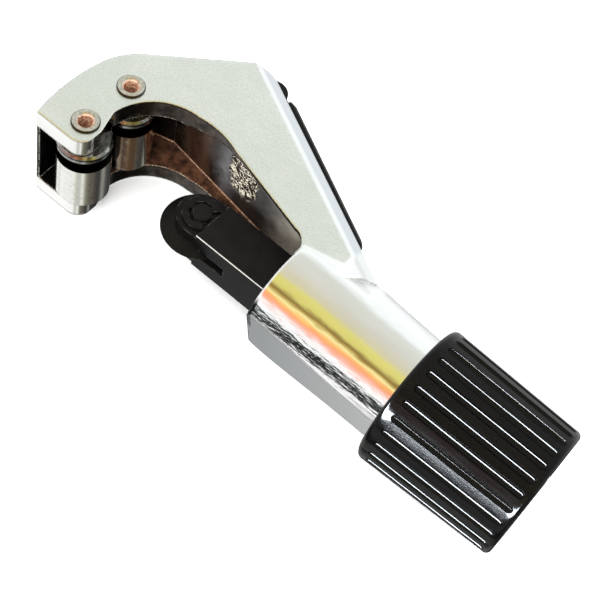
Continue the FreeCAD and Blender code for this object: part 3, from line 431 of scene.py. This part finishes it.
def roller_steel(roller, tones):
    """A roller: turned steel coloured round its sides by a table (the rear roller's is painted shade and
    reflections), a top ring painted darker as shade, a painted dark line on it, and a near-black groove.
    """
    groove_low, groove_high = 3.45, 6.6
    f = Finish(roller + "_steel", 1.0)
    across = f.calc("SUBTRACT", f.y, axis_y(roller))
    turn = f.calc("DIVIDE", f.calc("ARCTAN2", across, f.x), 2 * math.pi)
    rings = f.noise(f.stretched(f.place, 0.05, 0.05, 3.0), 1.0, 3.0)
    scuff = f.noise(f.place, 0.8, 5.0, 0.6)
    wander = f.fit(f.noise(f.stretched(f.place, 1.0, 1.0, 0.15), 0.6, 4.0), -0.02, 0.02)
    steel = f.ramp(f.calc("ADD", f.calc("ADD", turn, 0.5), wander), by_angle(tones))
    worn = f.both(f.step(scuff, 0.5, 0.7), f.step(f.z, 7.0, 6.0), 0.35)
    steel = f.mix(worn, steel, linear((170, 164, 158)))
    # painted shade: the ring above the groove, under the cheek, is painted darker
    shaded_top_ring = f.step(f.z, groove_high - 0.1, groove_high + 0.1)
    steel = f.mix(shaded_top_ring, steel, f.ramp(scuff, [(0.35, (112, 112, 112)), (0.65, (176, 176, 174))]))
    # painted shade: a thin dark line on the ring, where a step would throw shade
    steel = f.mix(f.band(f.z, 7.3, 7.4, 7.75, 7.85), steel, linear((40, 39, 38)))
    groove = f.band(f.z, groove_low - 0.14, groove_low - 0.06, groove_high, groove_high + 0.1)
    f.set(Base_Color=f.mix(groove, steel, linear((16, 15, 15))),
          Roughness=f.blend(groove, f.fit(rings, 0.10, 0.17), 0.3),
          Normal=f.bump(rings, 0.003))
    f.assign(roller)


def rivet_steel():
    """The two tubular rivets: plated steel heads with a ring of painted shade round them, and rusty
    bores.
    """
    names = ("front_roller_rivet", "rear_roller_rivet")
    f = Finish("rivet_steel", 1.0)
    scuff = f.noise(f.place, 1.6, 5.0, 0.6)
    away = f.calc("MINIMUM", *(f.distance(f.x, f.calc("SUBTRACT", f.y, axis_y(name))) for name in names))
    bore = f.step(away, 1.95, 1.7)
    # painted shade: a dark ring round the head, where it meets the cheek
    painted_shade_ring = f.step(away, 2.86, 3.02)
    steel = f.ramp(scuff, [(0.3, (180, 180, 174)), (0.65, (230, 229, 222))])
    steel = f.mix(painted_shade_ring, steel, linear((58, 54, 50)))
    mottle = f.ramp(scuff, [(0.35, (104, 62, 42)), (0.65, (222, 178, 148))])
    f.set(Base_Color=f.mix(bore, steel, mottle),
          Roughness=f.fit(scuff, 0.34, 0.5),
          Metallic=f.outside(bore),
          Normal=f.bump(scuff, 0.02))
    f.assign(*names)


def black_oxide():
    """Slide, wheel, pins and reamer: black oxide, rubbed bright along its sharpest edges, with a painted
    highlight along the slide's upper corner.
    """
    f = Finish("black_oxide", 0.0)
    grain = f.noise(f.place, 3.5, 5.0, 0.65)
    cloud = f.noise(f.place, 0.25, 3.0)
    tone = f.ramp(f.calc("ADD", f.calc("MULTIPLY", grain, 0.6), f.calc("MULTIPLY", cloud, 0.4)),
                  [(0.35, (7, 6, 6)), (0.6, (17, 16, 16))])
    worn = f.both(f.edges(0.16, 0.05, 0.2), f.step(f.noise(f.place, 0.45, 4.0, 0.6), 0.48, 0.62))
    # painted highlight: a bright broken line along the slide's upper corner on the +Y side
    painted_slide_corner_highlight = f.both(f.step(f.y, 5.15, 5.4), f.step(f.z, 5.15, 5.4), f.step(grain, 0.25, 0.5))
    # wear on the sharp edges, together with the painted highlight
    wear_and_painted_highlight = f.either(f.calc("MULTIPLY", worn, 0.35), painted_slide_corner_highlight)
    f.set(Base_Color=f.mix(wear_and_painted_highlight, tone, linear((206, 202, 194))),
          Roughness=f.blend(wear_and_painted_highlight, f.fit(grain, 0.30, 0.48), 0.3),
          Specular_IOR_Level=0.12,
          Normal=f.bump(grain, 0.02, f.rounded(0.3, 6)))
    f.assign("slide", "cutter_wheel", "wheel_pin", "wheel_pin_clip", "reamer_blade", "reamer_pin",
             "bushing_set_screw")


def knob_black():
    """The knob: glossy black plastic with fine scratches."""
    f = Finish("knob_black", 0.0)
    grain = f.noise(f.place, 2.2, 4.0, 0.6)
    scratch = f.noise(f.stretched(f.place, 0.15, 2.5, 2.5), 1.0, 5.0, 0.7)
    f.set(Base_Color=f.ramp(grain, [(0.3, (5, 5, 5)), (0.7, (12, 11, 11))]),
          Roughness=f.fit(scratch, 0.05, 0.18),
          Specular_IOR_Level=0.12,
          Normal=f.bump(f.calc("ADD", grain, scratch), 0.004))
    f.assign("knob", "knob_cap")


def screw_steel():
    """The feed screw, the knob's screw and the steel washers: oiled steel with turning marks."""
    f = Finish("screw_steel", 1.0)
    rings = f.noise(f.stretched(f.place, 4.0, 0.1, 0.1), 1.0, 3.0)
    scuff = f.noise(f.place, 1.2, 4.0)
    f.set(Base_Color=f.ramp(scuff, [(0.3, (150, 148, 144)), (0.7, (196, 194, 190))]),
          Roughness=f.fit(rings, 0.22, 0.4),
          Normal=f.bump(rings, 0.01))
    f.assign("feed_screw", "thrust_washer", "knob_washer", "knob_screw")


def brass():
    """The rear bushing and the knob's insert."""
    f = Finish("brass", 1.0)
    scuff = f.noise(f.place, 0.9, 5.0, 0.6)
    f.set(Base_Color=f.ramp(scuff, [(0.3, (170, 130, 62)), (0.7, (214, 178, 98))]),
          Roughness=f.fit(scuff, 0.2, 0.42),
          Normal=f.bump(scuff, 0.01))
    f.assign("rear_bushing", "knob_insert")


def nylon():
    """The friction washer."""
    f = Finish("nylon", 0.0)
    haze = f.noise(f.place, 0.8, 4.0)
    f.set(Base_Color=f.ramp(haze, [(0.3, (206, 202, 190)), (0.7, (228, 225, 214))]),
          Roughness=f.fit(haze, 0.4, 0.55),
          Normal=f.bump(haze, 0.01))
    f.assign("friction_washer")


# ---- studio ----------------------------------------------------------------------------------

# What polished metal mirrors, by direction round the tool's long axis in degrees from +Y to +Z.
SURROUNDINGS = [
    (-180, (252, 254, 255)),
    (-166, (246, 250, 251)),
    (-150, (224, 226, 226)),
    (-130, (212, 213, 212)),
    (-119, (90, 92, 96)),
    (-105, (66, 68, 72)),
    (-95, (176, 178, 178)),
    (-80, (186, 188, 186)),
    (-72, (150, 152, 156)),
    (-62, (40, 44, 50)),
    (-34, (34, 36, 38)),
    (-21, (250, 250, 250)),
    (-14, (250, 250, 250)),
    (-6, (52, 54, 54)),
    (6, (40, 42, 40)),
    (11, (170, 176, 176)),
    (16, (254, 254, 254)),
    (26, (254, 254, 254)),
    (31, (252, 190, 172)),
    (37, (250, 168, 118)),
    (43, (250, 190, 112)),
    (48, (252, 242, 170)),
    (52, (196, 168, 92)),
    (57, (132, 104, 56)),
    (65, (220, 210, 120)),
    (77, (222, 214, 126)),
    (86, (210, 204, 172)),
    (104, (211, 209, 196)),
    (134, (216, 219, 212)),
    (147, (248, 254, 252)),
    (176, (253, 255, 254)),
]

# What upright polished metal mirrors below it, by compass heading in degrees from +X to +Y.
STRIPS = [
    (-180, (74, 72, 70)),
    (-160, (60, 58, 56)),
    (-152, (62, 62, 58)),
    (-142, (130, 132, 124)),
    (-132, (140, 140, 134)),
    (-120, (84, 82, 80)),
    (-95, (54, 54, 52)),
    (-64, (70, 70, 68)),
    (-25, (96, 96, 94)),
    (-12, (242, 243, 240)),
    (10, (248, 249, 246)),
    (20, (220, 221, 218)),
    (32, (250, 251, 249)),
    (98, (242, 244, 240)),
    (108, (200, 200, 186)),
    (122, (194, 196, 194)),
    (134, (242, 242, 234)),
    (142, (174, 174, 160)),
    (150, (124, 122, 108)),
    (165, (94, 90, 80)),
]


def make_world():
    """Even white light, and the surroundings where a polished surface mirrors them."""
    white = (1.0, 1.0, 1.0, 1.0)
    even_strength, mirrored_strength = 1.8, 1.08
    world = bpy.data.worlds.new("studio")
    world.use_nodes = True
    s = Shading(world.node_tree)
    x, y, z = s.node("SeparateXYZ", {0: s.node("TexCoord").outputs["Generated"]}).outputs
    degrees = s.calc("MULTIPLY", s.calc("ARCTAN2", z, y), DEGREES)
    around = s.ramp(s.calc("DIVIDE", s.calc("ADD", degrees, 180.0), 360.0), by_angle(SURROUNDINGS))
    heading = s.calc("DIVIDE", s.calc("ARCTAN2", y, x), 2 * math.pi)
    strips = s.ramp(s.calc("ADD", heading, 0.5), by_angle(STRIPS))
    low_down = s.both(s.step(z, -0.68, -0.72), s.step(z, -0.90, -0.86))
    past_the_tip = s.step(x, 0.75, 0.85)
    around = s.mix(low_down, around, strips)
    around = s.mix(past_the_tip, around, linear((250, 252, 252)))
    mirrored = s.node("LightPath").outputs["Is Glossy Ray"]
    background = world.node_tree.nodes["Background"]
    world.node_tree.links.new(s.mix(mirrored, white, around), background.inputs["Color"])
    world.node_tree.links.new(s.blend(mirrored, even_strength, mirrored_strength),
                              background.inputs["Strength"])
    # The background isn't sampled as a lamp, because its colour depends on the kind of ray.
    world.cycles.sampling_method = "NONE"
    bpy.context.scene.world = world


def make_camera():
    """The camera over the open side of the jaw, looking down at the tool."""
    place = Vector((-121.4, 142.4, 243.1))
    right = Vector((-0.76242, -0.62426, 0.17034))
    up = Vector((0.60905, -0.60337, 0.51478))
    data = bpy.data.cameras.new("camera")
    data.sensor_width = 36.0
    data.lens = 80.88
    data.clip_start = 0.01
    data.clip_end = 10.0
    camera = bpy.data.objects.new("camera", data)
    turn = Matrix((right, up, right.cross(up))).transposed().to_4x4()
    camera.matrix_world = Matrix.Translation(place * MM) @ turn
    bpy.context.scene.collection.objects.link(camera)
    bpy.context.scene.camera = camera


def area_light(name, place, target, size, power):
    """A soft light that points at a target, in millimetres and watts, and isn't mirrored."""
    data = bpy.data.lights.new(name, "AREA")
    data.shape = "RECTANGLE"
    data.size, data.size_y = size[0] * MM, size[1] * MM
    data.energy = power
    light = bpy.data.objects.new(name, data)
    light.location = Vector(place) * MM
    aim = Vector(target) * MM - light.location
    light.rotation_mode = "QUATERNION"
    light.rotation_quaternion = aim.to_track_quat("-Z", "Y")
    light.visible_glossy = False
    bpy.context.scene.collection.objects.link(light)
    return light


def mirrored_only(light, colour, *names):
    """Make a light one that only these pieces see, and only as a reflection."""
    light.data.color = colour
    light.visible_glossy = True
    light.visible_diffuse = False
    receivers = bpy.data.collections.new(light.name + "_receivers")
    for name in names:
        receivers.objects.link(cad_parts[name])
    light.light_linking.receiver_collection = receivers


def make_floor():
    """The pale table, tilted so that the tool rests on its knob and lower cheek."""
    reach = 4
    rim_x, rim_z = -87.8 * MM, -16.45 * MM
    rim_below_cheek, rim_to_cheek = 3.0, 97.8
    slope = rim_below_cheek / rim_to_cheek
    corners = []
    for x, y in ((-1, -1), (1, -1), (1, 1), (-1, 1)):
        corners.append((x * reach, y * reach, rim_z + (x * reach - rim_x) * slope))
    mesh = bpy.data.meshes.new("floor")
    mesh.from_pydata(corners, [], [(0, 1, 2, 3)])
    floor = bpy.data.objects.new("floor", mesh)
    bpy.context.scene.collection.objects.link(floor)
    material = bpy.data.materials.new("floor_white")
    material.use_nodes = True
    shader = material.node_tree.nodes["Principled BSDF"]
    shader.inputs["Base Color"].default_value = (0.96, 0.96, 0.96, 1)
    shader.inputs["Roughness"].default_value = 0.9
    mesh.materials.append(material)
    floor.visible_glossy = False


def make_lights():
    """Two weak soft lights, and a cool strip that only the knob mirrors."""
    middle = (-50, 0, 0)
    area_light("key", place=(-60, 500, 700), target=middle, size=(600, 600), power=6)
    area_light("fill", place=(500, -300, 500), target=middle, size=(600, 600), power=3)
    strip = area_light("strip", place=(-60, 574, 175), target=(-60, 0, 0), size=(1400, 170), power=150)
    mirrored_only(strip, (0.86, 0.93, 1.0), "knob", "knob_cap")


cast_chrome()
roller_steel("front_roller", CLEAN_STEEL)
roller_steel("rear_roller", SHADE_AND_REFLECTION_STEEL)
rivet_steel()
black_oxide()
knob_black()
screw_steel()
brass()
nylon()

make_camera()
make_floor()
make_world()
make_lights()
bpy.context.scene.view_settings.view_transform = "Standard"
